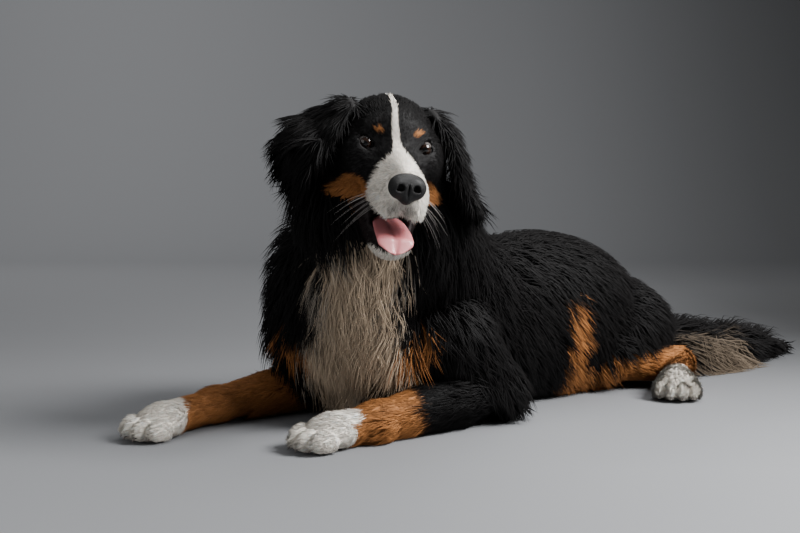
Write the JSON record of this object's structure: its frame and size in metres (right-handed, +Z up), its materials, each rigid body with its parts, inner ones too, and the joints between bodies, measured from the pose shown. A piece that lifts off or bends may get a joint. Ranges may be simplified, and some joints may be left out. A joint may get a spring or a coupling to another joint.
{
  "type": "bernese mountain dog",
  "caption": "Life-size Bernese mountain dog lying on its chest with its head up and turned, mouth open, in a long black, rust and white coat.",
  "frame": {"origin": "centre of the bounding box's base, on the floor the dog lies on", "axes": "+Z up, +Y towards the tail along the body, +X the dog's left side"},
  "size_m": [0.5844, 1.5874, 0.5321],
  "materials": {
    "coat_black": "matte",
    "coat_white": "matte",
    "coat_rust": "matte",
    "nose": "satin",
    "tongue": "satin",
    "eye": "gloss"
  },
  "bodies": {
    "root": {"bib": "coat_white", "ear_left": "coat_black", "ear_right": "coat_black", "eye_left": "eye", "eye_right": "eye", "forearm_left": "coat_rust", "forearm_right": "coat_rust", "forepaw_left": "coat_white", "forepaw_right": "coat_white", "head": "coat_black", "hind_foot_left": "coat_rust", "hind_foot_right": "coat_rust", "hind_paw_left": "coat_white", "hind_paw_right": "coat_white", "jaw": "coat_white", "neck": "coat_black", "nose": "nose", "shin_left": "coat_rust", "shin_right": "coat_rust", "tail": "coat_black", "thigh_left": "coat_black", "thigh_right": "coat_black", "tongue": "tongue", "torso": "coat_black", "upper_arm_left": "coat_black", "upper_arm_right": "coat_black"}
  },
  "joints": []
}
